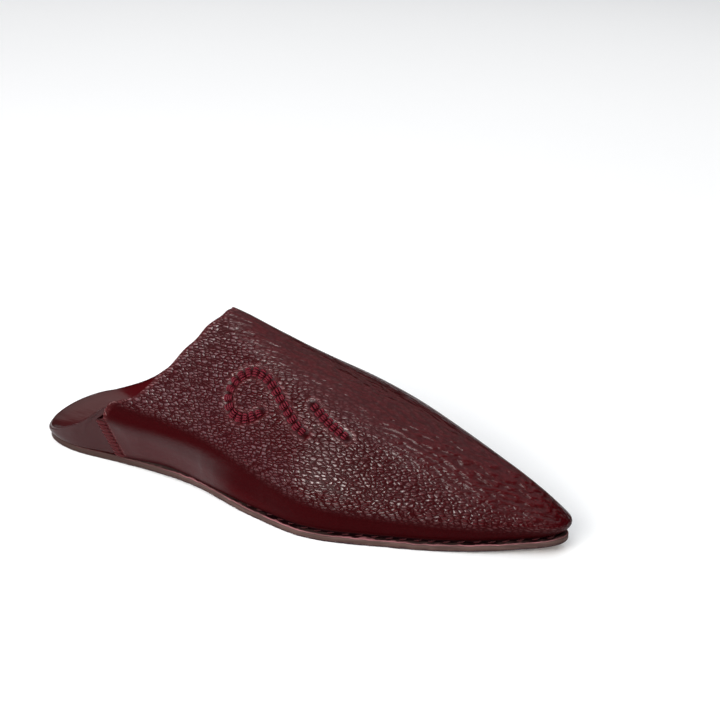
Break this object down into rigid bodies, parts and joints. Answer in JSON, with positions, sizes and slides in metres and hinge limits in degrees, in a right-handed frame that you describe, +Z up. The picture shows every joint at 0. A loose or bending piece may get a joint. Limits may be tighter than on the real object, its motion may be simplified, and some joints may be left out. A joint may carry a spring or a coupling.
{
  "type": "babouche slipper",
  "caption": "Pointed leather slipper with a high tented vamp, open collar, trodden-down back and thin flat sole.",
  "frame": {"origin": "on the floor, under the middle of the slipper's bounding box", "axes": "+X to the toe, +Y to the inner side of the right foot, +Z up"},
  "size_m": [0.2678, 0.0896, 0.0789],
  "materials": {
    "sole_leather": "dull waxed edge",
    "dark_ply": "dull, stitched",
    "lining_leather": "soft matt",
    "grained_leather": "pebbled, semi gloss",
    "smooth_leather": "smooth, glossy",
    "seam_thread": "waxed thread"
  },
  "bodies": {
    "root": {"outsole": "sole_leather", "midsole": "dark_ply", "insole": "lining_leather", "upper_vamp": "grained_leather", "heel_quarter": "smooth_leather", "side_seam_lateral": "seam_thread", "side_seam_medial": "seam_thread"}
  },
  "joints": []
}
